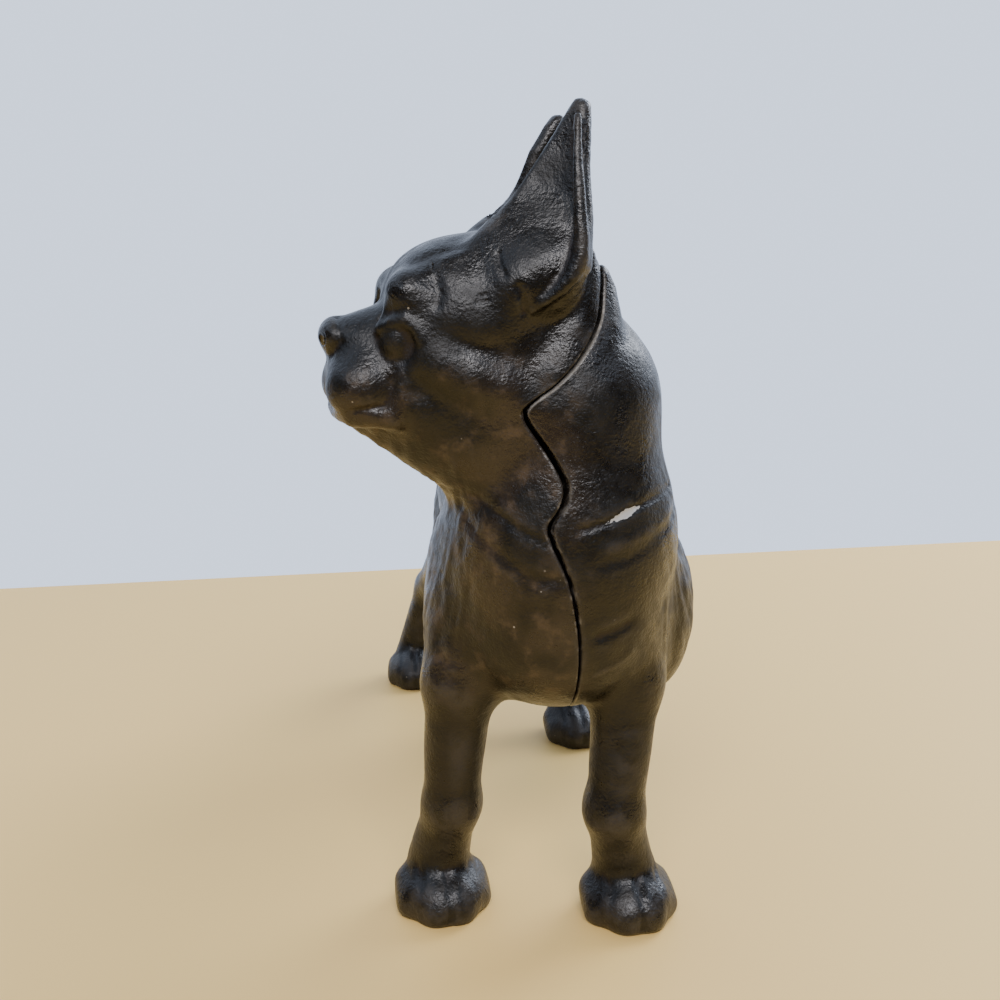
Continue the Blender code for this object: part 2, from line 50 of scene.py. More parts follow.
# %% [markdown]
# ## Measures
# Everything is given in shares, hundredths of the statue's length: the chest looks along -Y, the dog's left
# is +X, and the floor is z = 0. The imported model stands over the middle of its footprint, so one shift takes
# shares to the model's own place.

# %% Measures
LENGTH = 0.250
SHARE = LENGTH / 100
FOOTPRINT_MIDDLE = np.array((-5.3, 9.1, 0.0))
MIRROR = np.diag((1.0, -1.0, 1.0))
ACROSS = (1, 0, 0)


def to_shares(place):
    """Model metres to shares: divide by a share, add the footprint's middle."""
    return place / SHARE + FOOTPRINT_MIDDLE


def to_metres(place):
    """Shares to model metres: take off the footprint's middle, times a share."""
    return (place - FOOTPRINT_MIDDLE) * SHARE


print("one share is", SHARE * 1000, "mm")

# %% [markdown]
# ## Masses
# A sculptor builds a dog from lumps of clay: a ball for the ribcage, a tapered roll for a forearm, a bent
# plate for an ear. Each lump here is an ellipsoid, a chain of tapered bars or a plate, and the figure is
# the surface where the distance to all of them, melted together, is nought. This suits a cast animal better
# than pulled vertices, because every muscle stays a lump that can be moved, and neighbours always flow into
# each other.

# %% Lumps of clay


def turned(degrees):
    """The 3 x 3 matrix that turns about X, then Y, then Z."""
    return np.array(Euler([math.radians(angle) for angle in degrees]).to_matrix())


def ball(centre, radii, blend, turn=(0, 0, 0), carve=False):
    """An ellipsoid. blend is how far it melts into the form before it, turn is in degrees."""
    return {"centre": np.array(centre, float), "radii": np.array(radii, float), "axes": turned(turn),
            "blend": blend, "carve": carve}


def limb(start, end, radii, blend, flat=None):
    """A tapered round bar between two points. flat is (direction, times thinner that way)."""
    return chain([start, end], radii, blend, flat=flat and (flat[0], (flat[1],)))


def chain(points, radii, blend, carve=False, flat=None):
    """Tapered bars end to end, such as a rim or a groove. flat is (direction, times thinner for each bar)."""
    if flat:
        flat = (np.array(flat[0], float), flat[1])
    return {"line": np.array(points, float), "radii": np.array(radii, float), "blend": blend, "flat": flat,
            "carve": carve}


# the radius that rounds off the edge of a plate
EDGE_ROUND = 0.7


def blade(centre, outline, thick, lean, dish, blend, turn):
    """A bent plate with an outline of (across, up) points, leaning with height and dished across."""
    mass = ball(centre, (12, 12, 12), blend, turn)
    mass["outline"] = np.array(outline, float)
    mass["thick"], mass["lean"], mass["dish"] = thick, lean, dish
    return mass


def moved(mass, turn, shift=(0, 0, 0), size=1):
    """A copy of a mass or a fold, resized, turned or reflected (a 3 x 3 matrix) and shifted."""
    copy = dict(mass)
    for key in ("centre", "line"):
        if key in mass:
            copy[key] = size * mass[key] @ turn.T + shift
    if "axes" in mass:
        copy["axes"] = turn @ mass["axes"]
    if mass.get("flat"):
        copy["flat"] = (turn @ mass["flat"][0], mass["flat"][1])
    for key in ("radii", "blend", "width", "depth", "outline", "thick"):
        if key in mass:
            copy[key] = size * np.array(mass[key])
    return copy


def both_sides(masses):
    """The masses and their mirror images across the middle plane, y = 0."""
    return [copy for mass in masses for copy in (mass, moved(mass, MIRROR))]


# %% [markdown]
# ## The body
# The chest is the widest mass and hangs low between the fore legs. The barrel narrows to the loin, the rump
# carries a short tapering tail, and the shoulders bulge past the neck on both sides.

# %% Body, shoulders and neck


def torso():
    return [
        ball((-1.0, -24.4, 46), (14.6, 16.0, 16.0), 0),
        ball((-1.4, -23, 36.6), (11.6, 15.0, 9.0), 5),
        ball((-0.4, -4, 49.5), (12.4, 20, 14.0), 6),
        ball((0, -9, 57), (9, 11, 8.5), 5),
        ball((0, 14, 51.0), (10.0, 15, 11.2), 6),
        ball((0, 28.5, 51.5), (8.8, 12.5, 11.5), 6),
        limb((0, 38.5, 56), (0.4, 43.0, 52.5), (2.6, 1.7), 3),
    ]


def shoulders():
    return [
        ball((11.4, -20, 38.0), (6.6, 8.5, 12), 4, turn=(-12, 0, 0)),
        ball((-10.4, -21, 39), (6.2, 8.5, 12), 4, turn=(-12, 0, 0)),
    ]


def neck():
    """The column of the neck, and the rolls of skin on both sides of the parting behind the ear."""
    left_roll = [(0.8, -30.8, 81.0), (1.7, -31.0, 79.7), (2.2, -30.9, 78.2), (2.2, -31.7, 76.5),
                 (1.8, -33.0, 74.6), (0.8, -34.1, 72.6), (-0.6, -34.9, 70.6)]
    right_roll = [(0.3, -32.9, 82.5), (0.0, -33.6, 79.0), (-0.8, -34.3, 76.8), (-1.6, -35.1, 74.6),
                  (-2.6, -35.7, 72.4), (-3.8, -36.2, 70.4)]
    return [
        limb((-0.8, -27.6, 54), (-0.7, -27.4, 65), (12.0, 10.9), 5),
        limb((-0.9, -27.2, 66), (-2.3, -27.2, 77.6), (9.7, 4.7), 4),
        chain(left_roll, (1.2, 1.8, 2.0, 2.0, 1.8, 1.5, 1.0), 2.5),
        chain(right_roll, (0.8, 1.2, 1.2, 1.1, 0.9, 0.5), 2.5),
    ]


print(len(torso() + shoulders() + neck()), "masses in the body and neck")

# %% [markdown]
# ## The legs
# The fore legs are straight posts with a small bump on the inner side of each wrist. The hind legs bend at
# the stifle and the hock. A paw is a round pad with four toes that show as soft knuckles.

# %% Legs and paws
# each paw's heel (x, y), turn in degrees, half width and length
PAWS = {
    "right fore": ((-15.9, -20.0), 3, 6.1, 12.2),
    "left fore": ((7.2, -25.8), 3, 6.1, 12.2),
    "right hind": ((-10.5, 59.0), -4, 5.1, 12.0),
    "left hind": ((13.0, 28.0), 4, 5.1, 12.0),
}


def paw(heel, turn, width, length):
    """A paw with four toes, pointing along -Y from its heel before it is turned."""
    toes = []
    for place, ahead in ((-0.72, 0.66), (-0.26, 0.90), (0.26, 0.90), (0.72, 0.66)):
        knuckle = (place * width * 0.92, -0.42 * length * ahead, 2.9)
        tip = (place * width, -length * ahead + 1.7, 1.2)
        toes.append(limb(knuckle, tip, (0.30 * width, 0.27 * width), 1.3))
    pad = [ball((0, -0.42 * length, 1.9), (0.93 * width, 0.50 * length, 4.2), 2)]
    matrix = turned((0, 0, turn))
    return [moved(mass, matrix, np.array((*heel, 0))) for mass in pad + toes]


def fore_leg(elbow, wrist, foot):
    """Upper arm, forearm, the wrist with its bump on the inner side, pastern and paw."""
    inner = -1 if wrist[0] > 0 else 1
    heel = foot[0]
    return [
        limb((0.75 * elbow[0], elbow[1] + 2, 40), (*elbow, 31), (6.4, 4.6), 2.5),
        limb((*elbow, 31), (*wrist, 15), (4.3, 3.4), 2),
        ball((wrist[0] + 0.7 * inner, wrist[1] + 0.8, 15.2), (3.1, 3.3, 3.6), 1.5),
        limb((*wrist, 14), (heel[0], heel[1] - 3.4, 6), (3.3, 3.9), 2),
        *paw(*foot),
    ]


def hind_leg(hip, stifle, hock, foot):
    """Thigh, second thigh, hock and paw."""
    hip, stifle, hock, heel = np.array(hip), np.array(stifle), np.array(hock), foot[0]
    lean = math.degrees(math.atan2(stifle[1] - hip[1], hip[2] - stifle[2]))
    return [
        ball(hip + 0.42 * (stifle - hip), (4.7, 10.8, 13.0), 4, turn=(lean, 0, 0)),
        limb(hip + 0.8 * (stifle - hip), stifle, (6.0, 6.0), 4, flat=(ACROSS, 1.3)),
        limb(stifle, hock, (6.0, 4.1), 3, flat=(ACROSS, 1.3)),
        ball(hock + (0, 0.9, 0.3), (3.0, 3.5, 3.3), 1.5),
        limb(hock, (heel[0], heel[1] - 2.6, 5.5), (3.3, 3.4), 1.5),
        *paw(*foot),
    ]


def legs():
    return (fore_leg((-13.3, -26.0), (-14.6, -26.2), PAWS["right fore"])
            + fore_leg((6.9, -29.5), (5.3, -32.0), PAWS["left fore"])
            + hind_leg((-3.5, 29.5, 52), (-4.0, 34.5, 33), (-6.9, 55.0, 18.0), PAWS["right hind"])
            + hind_leg((3.6, 29.5, 52), (5.6, 21.5, 33.5), (9.8, 32.5, 18.5), PAWS["left hind"]))


print(len(legs()), "masses in the legs")

# %% [markdown]
# ## The head
# The head is shaped on its own, looking straight along -X with y = 0 as its middle plane, and then set on
# the neck with a slight turn. So each feature of the face is made once and mirrored. A flat skull, heavy
# temples and cheeks, a short square muzzle with hanging lips and round eyes set wide make the breed.

# %% Skull, muzzle and eyes
HEAD_PIVOT = np.array((-6.0, 0, 0))
HEAD_SEAT = np.array((-7.3, -27.8, 4.3))
HEAD_TURN = 1.5
HEAD_SIZE = 0.95


def cranium():
    """Skull and throat in the middle; brow, eye's bed, cheekbone, jaw, temple and cheek on each side."""
    middle = [
        ball((-7.0, 0, 75.6), (10.6, 9.3, 9.4), 3),
        ball((-13.4, 0, 76.3), (8.3, 8.6, 7.9), 3),
        ball((-8.5, 0, 66), (9.8, 9.5, 8.6), 4),
        limb((-23.4, 0, 64.0), (-10, 0, 61.2), (3.0, 8.4), 3),
    ]
    cheek = [(-18.4, 5.8, 71.0), (-15.5, 6.8, 70.0), (-12.5, 7.3, 68.6), (-9.5, 7.4, 67.4), (-6.5, 6.8, 65.8)]
    sides = both_sides([
        ball((-18.9, 4.9, 77.8), (2.9, 2.9, 3.0), 1.5, turn=(20, 0, 0)),
        ball((-17.0, 4.6, 73.4), (4.0, 3.7, 4.6), 2),
        ball((-11.4, 5.5, 72.8), (7.4, 3.0, 3.6), 2.5),
        ball((-17.6, 4.4, 65.4), (4.6, 3.4, 4.0), 2.5),
        ball((-10.6, 6.2, 77.0), (6.4, 2.7, 4.8), 1.4, turn=(35, 0, 0)),
        chain(cheek, (2.2, 2.9, 3.1, 3.0, 2.6), 1.8),
    ])
    return middle + sides


def muzzle():
    """Bridge, lips, jowls and the nose with its nostrils."""
    lips = [(-27.0, 1.4, 64.3), (-25.5, 4.2, 63.9), (-23.0, 5.6, 64.0), (-21.0, 6.0, 63.7)]
    jowl = [(-20.3, 6.2, 69.8), (-19.9, 6.4, 67.8), (-20.3, 6.2, 65.6), (-21.3, 6.0, 64.2)]
    middle = [
        ball((-21.9, 0, 69.3), (6.5, 6.0, 6.0), 2),
        limb((-26.3, 0, 73.0), (-19, 0, 74.2), (2.2, 2.8), 1.5, flat=((0, 1, 0), 0.72)),
    ]
    sides = both_sides([
        ball((-24.3, 3.5, 67.1), (4.4, 3.8, 4.0), 1.6),
        chain(lips, (1.1, 1.2, 1.2, 1.0), 1.3),
        chain(jowl, (0.7, 0.9, 0.9, 0.8), 1.8),
    ])
    nose = [ball((-27.3, 0, 72.9), (1.9, 2.8, 2.2), 0.9)]
    nostrils = both_sides([ball((-29.1, 1.5, 72.7), (0.7, 0.6, 0.6), 0.6, carve=True)])
    return middle + sides + nose + nostrils


def eyes():
    """A socket, the ball of the eye in it, its upper lid and the ridge from the lid to the brow."""
    upper_lid = [(-22.3, 5.2, 74.0), (-21.2, 6.4, 74.9), (-19.8, 7.2, 75.1), (-18.6, 7.7, 74.2),
                 (-18.0, 7.9, 73.1)]
    ridge = [(-20.6, 4.9, 77.7), (-21.4, 5.0, 76.3), (-22.2, 5.1, 74.4)]
    return both_sides([
        ball((-21.0, 8.1, 72.5), (2.1, 1.7, 2.4), 1.5, carve=True),
        ball((-20.4, 5.5, 72.8), (1.9, 1.9, 2.4), 0.9),
        chain(upper_lid, (0.5, 0.6, 0.65, 0.6, 0.5), 0.9),
        chain(ridge, (0.5, 0.5, 0.4), 0.9),
    ])


# %% [markdown]
# ## The ears
# Each ear is a pointed blade whose hollow face looks forward and out, and slopes into the temple at its
# foot. A rolled rim runs down it and curls round under the ear's root, with a groove in front of the rim
# and the plain back of the ear behind it. The far ear is the narrower one, so its rim and groove start one
# point lower.

# %% Ears


def ear(inner_edge, top, start):
    """A dished blade, two slopes and the lobe at its foot, the rolled rim and the groove in front of it."""
    outline = [*inner_edge, (-1.7, top), (-1.2, top - 0.3), (-0.2, 8.0), (1.3, 2.0), (2.1, -3.0),
               (-1.0, -6.5)]
    rim = [(-0.2, 8.3, 97.4), (-0.4, 8.9, 94.6), (-0.5, 9.6, 92.0), (-0.5, 10.2, 89.4), (-0.5, 10.8, 86.8),
           (-0.4, 11.3, 84.2), (-0.6, 11.6, 82.2), (-1.5, 11.7, 80.0), (-2.8, 11.4, 78.4), (-4.4, 10.8, 77.2),
           (-5.6, 10.0, 76.4)]
    groove = [(-0.9, 8.4, 95.4), (-1.4, 8.9, 92.5), (-1.8, 9.4, 90.0), (-1.9, 10.0, 87.5), (-1.6, 10.5, 85.6)]
    rim_radii = (0.4, 0.5, 0.6, 0.7, 0.75, 0.85, 0.9, 0.85, 0.7, 0.5, 0.3)
    groove_radii = (0.3, 0.5, 0.7, 0.7, 0.4)
    return [
        blade((-0.5, 8.5, 84.0), outline, 0.2, -0.24, 0.055, 2.4, turn=(0, 0, 47.8)),
        ball((-4.6, 6.2, 83.4), (4.6, 2.2, 5.2), 2.6, turn=(24, 0, 28)),
        ball((-7.4, 5.8, 81.6), (3.8, 2.2, 4.6), 2.6, turn=(24, 0, 16)),
        ball((-4.6, 8.1, 79.6), (5.0, 2.7, 3.2), 2.6, turn=(0, -28, 0)),
        chain(rim[start:], rim_radii[start:], 0.9),
        chain(groove[start:], groove_radii[start:], 0.5, carve=True),
    ]


def ears():
    near = ear([(-10.0, -3.6), (-8.2, 0.4), (-6.8, 3.3), (-5.5, 6.8), (-3.9, 10.2), (-2.1, 14.2)], 15.0, 0)
    far = ear([(-5.0, -4.0), (-4.9, 3.3), (-4.5, 6.8), (-3.8, 10.2), (-2.4, 13.0)], 13.9, 1)
    return [moved(mass, MIRROR) for mass in near] + far


def set_on_neck(masses):
    """Head masses or folds, resized and turned, with the pivot brought to the seat."""
    turn = turned((0, 0, HEAD_TURN))
    return [moved(mass, turn, HEAD_SEAT - HEAD_SIZE * turn @ HEAD_PIVOT, HEAD_SIZE) for mass in masses]


def head():
    return set_on_neck(cranium() + muzzle() + eyes() + ears())


print(len(head()), "masses in the head")

# %% [markdown]
# ## Folds and dents
# The pattern maker cut the skin's folds with a gouge: nested wrinkles round the throat, a deep slit at the
# neck's left side, soft hollows on the breast. A fold is a line of points laid onto the surface, with the
# surface lowered beside it by a bell curve. A negative depth raises a ridge instead.

# %% Folds


def crease(points, width, depth):
    """A fold pressed into the surface along a line of points, or a ridge where depth is negative."""
    return {"line": np.array(points, float), "width": width, "depth": depth}


def body_folds():
    return [
        # the throat's nested folds on the dog's right
        crease([(-16.6, -26.5, 59.2), (-16.0, -28.8, 57.2), (-14.3, -34.4, 55.3), (-11.4, -38.4, 54.4),
                (-9.8, -40.0, 53.2), (-5.9, -40.8, 51.6)], 0.5, 0.2),
        crease([(-15.6, -31.0, 57.4), (-13.2, -36.5, 56.3), (-10.4, -40.0, 54.6), (-8.0, -41.0, 53.6)],
               0.6, -0.07),
        crease([(-14.2, -31.2, 54.5), (-13.2, -34.4, 52.0), (-11.4, -37.6, 49.9), (-8.5, -40.0, 47.8),
                (-5.0, -41.4, 47.2)], 0.65, 0.18),
        crease([(-15.2, -30.0, 54.0), (-13.9, -33.4, 51.0), (-11.8, -37.0, 48.9), (-9.0, -39.6, 46.9)],
               0.7, -0.06),
        # the slit and the folds on the dog's left
        crease([(-1.8, -40, 52.9), (1.2, -39.5, 53.5), (4.0, -38, 54.5), (6.8, -35.4, 55.1),
                (9.8, -31.5, 55.5)], 0.3, 0.36),
        crease([(0.6, -40.4, 48.9), (4.0, -39.5, 49.4), (8.1, -35.2, 51.4), (11.0, -31.5, 53.6)], 0.7, 0.22),
        crease([(1.5, -40.4, 50.8), (5.2, -38.5, 51.6), (9.0, -34.2, 53.0)], 0.7, -0.12),
        # hollows and low ridges of the breast
        crease([(-8.8, -41.6, 46.6), (-6.1, -42.0, 47.0), (-4.0, -42.4, 46.6)], 0.9, 0.16),
        crease([(1.2, -41.6, 39.9), (3.0, -41.2, 40.2), (5.2, -40.0, 41.0)], 0.75, 0.42),
        crease([(-16.3, -28, 33.9), (-14.7, -32, 33.9), (-12.4, -35.2, 34.4)], 0.5, -0.12),
        crease([(1, -39.2, 35), (3.5, -38.8, 35.8), (5.7, -38, 37.2)], 0.5, -0.15),
        # edges of the shoulder blades, flanks and thighs, and the dimple over the tail
        crease([(13.5, -20, 53), (15.6, -13, 47), (15.6, -9, 40), (13.5, -10, 33)], 1.6, 0.5),
        crease([(-13.5, -20, 53), (-15.6, -13, 47), (-14.8, -9, 40), (-12.5, -11, 33)], 1.6, 0.5),
        crease([(11, 12, 57), (11, 19, 50), (9, 20, 42), (7, 17, 38)], 1.6, 0.5),
        crease([(-11, 14, 57), (-10, 22, 50), (-8, 26, 42), (-6, 25, 38)], 1.6, 0.5),
        crease([(0, 42, 60), (0, 39.5, 61.5)], 1.0, 0.4),
    ]


def head_folds():
    """Mouth, jowl, chin, nose, brow, temple and ear's foot on both sides, and the groove under the nose."""
    mouth = [(-28.4, 0.6, 66.6), (-26.6, 3.2, 66.1), (-25.0, 5.2, 65.8), (-22.9, 6.2, 65.5)]
    return both_sides([
        crease(mouth, 0.4, 0.34),
        crease([(-21.9, 6.6, 65.4), (-21.2, 6.8, 67.4), (-20.9, 6.8, 69.4)], 0.5, 0.2),
        crease([(-23.6, 3.4, 61.6), (-23.2, 4.0, 61.4)], 0.8, -0.3),
        crease([(-26.9, 0.9, 75.4), (-26.7, 2.4, 74.6), (-26.6, 2.8, 72.4), (-27.2, 2.0, 71.0)], 0.4, 0.3),
        crease([(-21.4, 3.4, 77.8), (-22.0, 3.6, 76.6), (-22.2, 4.0, 75.2)], 0.5, 0.35),
        crease([(-16.2, 7.6, 79.6), (-15.9, 8.0, 78.2), (-16.0, 7.8, 76.9)], 0.7, 0.28),
        crease([(-9.9, 9.4, 83.4), (-9.6, 9.4, 81.9), (-9.1, 9.4, 80.9), (-8.6, 9.5, 80.0)], 0.35, 0.25),
        crease([(-11.6, 9.9, 78.0), (-10.9, 9.9, 78.1)], 0.22, 0.14),
        crease([(-12.0, 9.9, 77.2), (-10.8, 9.9, 77.3)], 0.22, 0.17),
        crease([(-7.3, 10.4, 78.8), (-6.8, 10.5, 77.2), (-6.6, 10.4, 75.8)], 0.45, 0.35),
        crease([(-18.4, 4.4, 81.0), (-15.6, 5.0, 82.4), (-12.8, 5.6, 83.2)], 0.8, 0.2),
        crease([(-22.0, 0.0, 77.6), (-18.0, 0.0, 81.5), (-12.0, 0.0, 84.4)], 0.9, 0.15),
    ]) + [crease([(-29.2, 0, 71.6), (-28.6, 0, 69.2), (-28.5, 0, 66.8)], 0.4, 0.4)]


def paw_folds():
    """The three clefts between the toes of each paw."""
    clefts = []
    for heel, turn, width, length in PAWS.values():
        matrix = turned((0, 0, turn))
        for place, ahead, deep in ((-0.5, 0.80, 0.16), (0.0, 0.98, 0.3), (0.5, 0.80, 0.16)):
            line = [(place * width * 0.9, -length * 0.45, 6.0), (place * width, -length * ahead * 0.85, 4.6),
                    (place * width, -length * ahead, 1.2)]
            clefts.append(moved(crease(line, 0.45, deep), matrix, np.array((*heel, 0))))
    return clefts


def all_folds():
    return body_folds() + set_on_neck(head_folds()) + paw_folds()


print(len(all_folds()), "folds and dents")

# %% [markdown]
# ## The distance to the form
# Melting two distances takes the smaller one and rounds it over where they are nearly equal. A mass is only
# worked out for the points near enough to feel it, which keeps the sum quick without changing it. A point
# is brought onto the form by small moves along the slope of the distance.

# %% Distance


def from_line(points, start, end):
    """How far along a straight line each point lies, 0 to 1, and its offset from the line."""
    axis = end - start
    along = np.clip((points - start) @ axis / (axis @ axis), 0, 1)
    return along, points - start - along[:, None] * axis


def from_bar(points, ends, radii):
    """Offset from the middle of the nearest ball that rolls along the bar, and that ball's radius."""
    start, end = ends
    length = np.linalg.norm(end - start)
    offset = points - start
    level = offset @ (end - start) / length
    aside = np.sqrt(np.maximum((offset ** 2).sum(axis=1) - level ** 2, 0))
    taper = np.clip((radii[0] - radii[1]) / length, -0.9, 0.9)
    along = np.clip((level - aside * taper / math.sqrt(1 - taper ** 2)) / length, 0, 1)
    return offset - along[:, None] * (end - start), radii[0] + along * (radii[1] - radii[0])


def past_outline(places, outline):
    """Distance of (across, up) places to a closed outline, negative inside it."""
    nearest = np.full(len(places), np.inf)
    inside = np.zeros(len(places), bool)
    for start, end in zip(outline, np.roll(outline, -1, axis=0)):
        nearest = np.minimum(nearest, np.linalg.norm(from_line(places, start, end)[1], axis=1))
        spans = (start[1] > places[:, 1]) != (end[1] > places[:, 1])
        slant = (end[0] - start[0]) / (end[1] - start[1] if end[1] != start[1] else 1)
        inside ^= spans & (places[:, 0] < start[0] + slant * (places[:, 1] - start[1]))
    return np.where(inside, -nearest, nearest)


def distance(mass, points):
    """Distance in shares from points (N, 3) to the surface of one mass, negative inside.

    A plate is first straightened by its lean and dish. An ellipsoid's distance is k (k - 1) / g, with k and g
    the lengths of the offset over the radii and over their squares.
    """
    if "centre" in mass:
        local = (points - mass["centre"]) @ mass["axes"]
    if "outline" in mass:
        bend = local[:, 1] - mass["lean"] * local[:, 2] - mass["dish"] * local[:, 0] ** 2
        past_face = np.abs(bend) - mass["thick"]
        past_edge = past_outline(local[:, [0, 2]], mass["outline"])
        outside = np.hypot(np.maximum(past_face, 0), np.maximum(past_edge, 0))
        return outside + np.minimum(np.maximum(past_face, past_edge), 0) - EDGE_ROUND
    if "centre" in mass:
        near = np.linalg.norm(local / mass["radii"], axis=1)
        slope = np.linalg.norm(local / mass["radii"] ** 2, axis=1)
        return near * (near - 1) / np.maximum(slope, 1e-9)
    nearest = np.full(len(points), np.inf)
    for bar in range(len(mass["line"]) - 1):
        aside, radius = from_bar(points, mass["line"][bar:bar + 2], mass["radii"][bar:bar + 2])
        if mass["flat"]:
            direction, thinner = mass["flat"]
            aside = aside + (aside @ direction)[:, None] * direction * (thinner[bar] - 1)
        nearest = np.minimum(nearest, np.linalg.norm(aside, axis=1) - radius)
    return nearest


def reach(mass):
    """Middle and radius of a sphere round the mass."""
    if "centre" in mass:
        return mass["centre"], mass["radii"].max()
    middle = mass["line"].mean(axis=0)
    return middle, np.linalg.norm(mass["line"] - middle, axis=1).max() + mass["radii"].max()


def melt(one, other, blend):
    """The smaller of two distances, rounded over where they are within blend of each other."""
    overlap = np.maximum(blend - np.abs(one - other), 0)
    return np.minimum(one, other) - overlap ** 2 / (4 * max(blend, 1e-9))


FAR = 30.0


def form(points, masses):
    """Distance in shares from points to the figure: masses melted together and carvings taken out."""
    whole = np.full(len(points), FAR)
    for mass in masses:
        middle, radius = reach(mass)
        away = np.linalg.norm(points - middle, axis=1) - radius
        near = away < 2 * np.abs(whole) + mass["blend"] + 1
        here = distance(mass, points[near])
        if mass["carve"]:
            whole[near] = -melt(-whole[near], here, mass["blend"])
        else:
            whole[near] = melt(whole[near], here, mass["blend"])
    return whole


def from_chain(points, corners):
    """Distance from points to a line through the corners."""
    spans = [np.linalg.norm(from_line(points, *span)[1], axis=1) for span in zip(corners, corners[1:])]
    return np.min(spans, axis=0)


def slope_of(field, points, step=0.04):
    """The field's value and slope, from its rise over one small step along each axis."""
    here = field(points)
    slope = np.stack([(field(points + step * axis) - here) / step for axis in np.eye(3)], axis=1)
    return here, slope


def slid(points, field, times=5, longest=0.8):
    """Points moved along the slope until they lie where the field is nought."""
    for _ in range(times):
        here, slope = slope_of(field, points)
        steepness = np.maximum((slope ** 2).sum(axis=1), 0.2)
        move = slope * (here / steepness)[:, None]
        length = np.linalg.norm(move, axis=1, keepdims=True)
        points = points - move * np.minimum(1, longest / np.maximum(length, 1e-9))
    return points


def slid_onto(points, masses):
    """Slides the points block by block, so that each block only asks the masses that can reach it."""
    moved_to = points.copy()
    cells, block_of = np.unique(np.floor(points / 9).astype(int), axis=0, return_inverse=True)
    block_of = block_of.ravel()
    order = np.argsort(block_of, kind="stable")
    for block in np.split(order, np.cumsum(np.bincount(block_of))[:-1]):
        middle = points[block].mean(axis=0)
        spread = np.linalg.norm(points[block] - middle, axis=1).max() + 4
        close = [mass for mass in masses
                 if np.linalg.norm(reach(mass)[0] - middle) - reach(mass)[1] < spread + mass["blend"]]
        moved_to[block] = slid(points[block], lambda place: form(place, close))
    return moved_to


masses = torso() + shoulders() + neck() + head() + legs()
folds = all_folds()
for fold in folds:
    fold["line"] = slid(fold["line"], lambda place: form(place, masses))
print(len(masses), "masses and", len(folds), "folds laid onto the form")

# %% [markdown]
# ## The parting
# The two shells meet in a wavy surface. It runs down the throat and the breast, and straight along the
# back. At the throat the old casting has sprung open by almost two millimetres. A smooth curve of sideways
# place against height gives the line at the front, another gives it at the back, and one eases into the
# other. Each half ends half a gap short of it, with a small round on its lip.

# %% Parting
PARTING_GAP = 0.0003
OPEN_GAP = 0.0019
# knots of (height, sideways place), and of (height, share of the open gap)
FRONT_PARTING = [(0, -0.6), (28, -0.9), (32.4, -1.15), (39.8, -1.5), (43.5, -2.1), (46.6, -2.8), (49.9, -4.1),
                 (51.8, -4.9), (53.4, -5.05), (54.8, -4.05), (57.6, -3.2), (59.8, -4.1), (62.9, -6.1),
                 (64.6, -7.2), (65.7, -7.6), (66.6, -7.0), (67.5, -5.8), (68.3, -4.6), (69.4, -3.3),
                 (70.8, -1.9), (72.4, -0.6), (74, 0.5), (75.6, 1.3), (77.7, 1.8), (79.8, 2.1), (82, 2.2),
                 (90, 4.5), (104, 7)]
BACK_PARTING = [(0, 0), (28, 0), (60, 0), (66, 0.2), (72, 0.8), (77.7, 1.8), (82, 2.2), (90, 4.5), (104, 7)]
OPENNESS = [(28, 0), (40, 0.2), (47, 0.4), (52, 0.7), (55, 0.9), (62, 0.9), (66, 0.6), (69, 0.35), (76, 0.5),
            (80, 0.5), (84, 0.3), (100, 0)]
PARTING_BLEND = (-32, -18)


def smooth_step(value, start, end):
    """0 below start, 1 above end, and t*t*(3-2t) between."""
    share = np.clip((value - start) / (end - start), 0, 1)
    return share * share * (3 - 2 * share)


def curve_through(knots, at):
    """A smooth curve through (place, value) knots: a cubic on each span that keeps the knots' mean slopes."""
    places, values = np.array(knots, float).T
    slopes = np.gradient(values, places)
    span = np.clip(np.searchsorted(places, at) - 1, 0, len(places) - 2)
    width = places[span + 1] - places[span]
    t = np.clip((at - places[span]) / width, 0, 1)
    rise = values[span + 1] - values[span]
    ease = 3 * t ** 2 - 2 * t ** 3
    return (values[span] + rise * ease
            + width * (slopes[span] * (t ** 3 - 2 * t ** 2 + t) + slopes[span + 1] * (t ** 3 - t ** 2)))


def parting_place(y, z):
    """Where the parting lies across the dog, and half its gap, in shares."""
    back = smooth_step(y, *PARTING_BLEND)
    middle = curve_through(FRONT_PARTING, z) * (1 - back) + curve_through(BACK_PARTING, z) * back
    openness = np.interp(z, *np.array(OPENNESS).T) * (1 - back)
    gap = PARTING_GAP + (OPEN_GAP - PARTING_GAP) * openness
    return middle, gap / 2 / SHARE


def past_parting(points, side):
    """Distance past a half's parting face, negative on the half's own side. side is -1 right, 1 left."""
    y, z = points[:, 1], points[:, 2]
    middle, half_gap = parting_place(y, z)
    lean = (parting_place(y, z + 0.1)[0] - middle) / 0.1
    return (side * (middle - points[:, 0]) + half_gap) / np.sqrt(1 + lean ** 2)


heights = np.linspace(28, 100, 289)
gaps = 2 * parting_place(np.full(len(heights), -40.0), heights)[1] * SHARE
print("the parting opens to", round(gaps.max() * 1000, 2), "mm")

# %% [markdown]
# ## One skin over both halves
# A pattern for such a casting is carved whole and parted afterwards, so the fine form is made in that order
# too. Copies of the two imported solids, with their parting walls pushed into each other, fuse into one
# closed skin of even faces. The head gets a second, finer cut. The skin is blown out a little, which keeps
# thin ear edges whole, and every point then slides down the slope of the distance onto the form.

# %% Skin
SKIN_VOXEL = 0.00118
FINE_HEAD = ((-31, -42, 62), (-2, -16, 101))
BLOWN_OUT = 0.5
NEAR_WALL = 0.4
WALL_PUSH = 1.3


def places_of(data, what="co"):
    """The places of a mesh's points, or their normals, as rows of three numbers."""
    place = np.empty(len(data.vertices) * 3)
    data.vertices.foreach_get(what, place)
    return place.reshape(-1, 3)


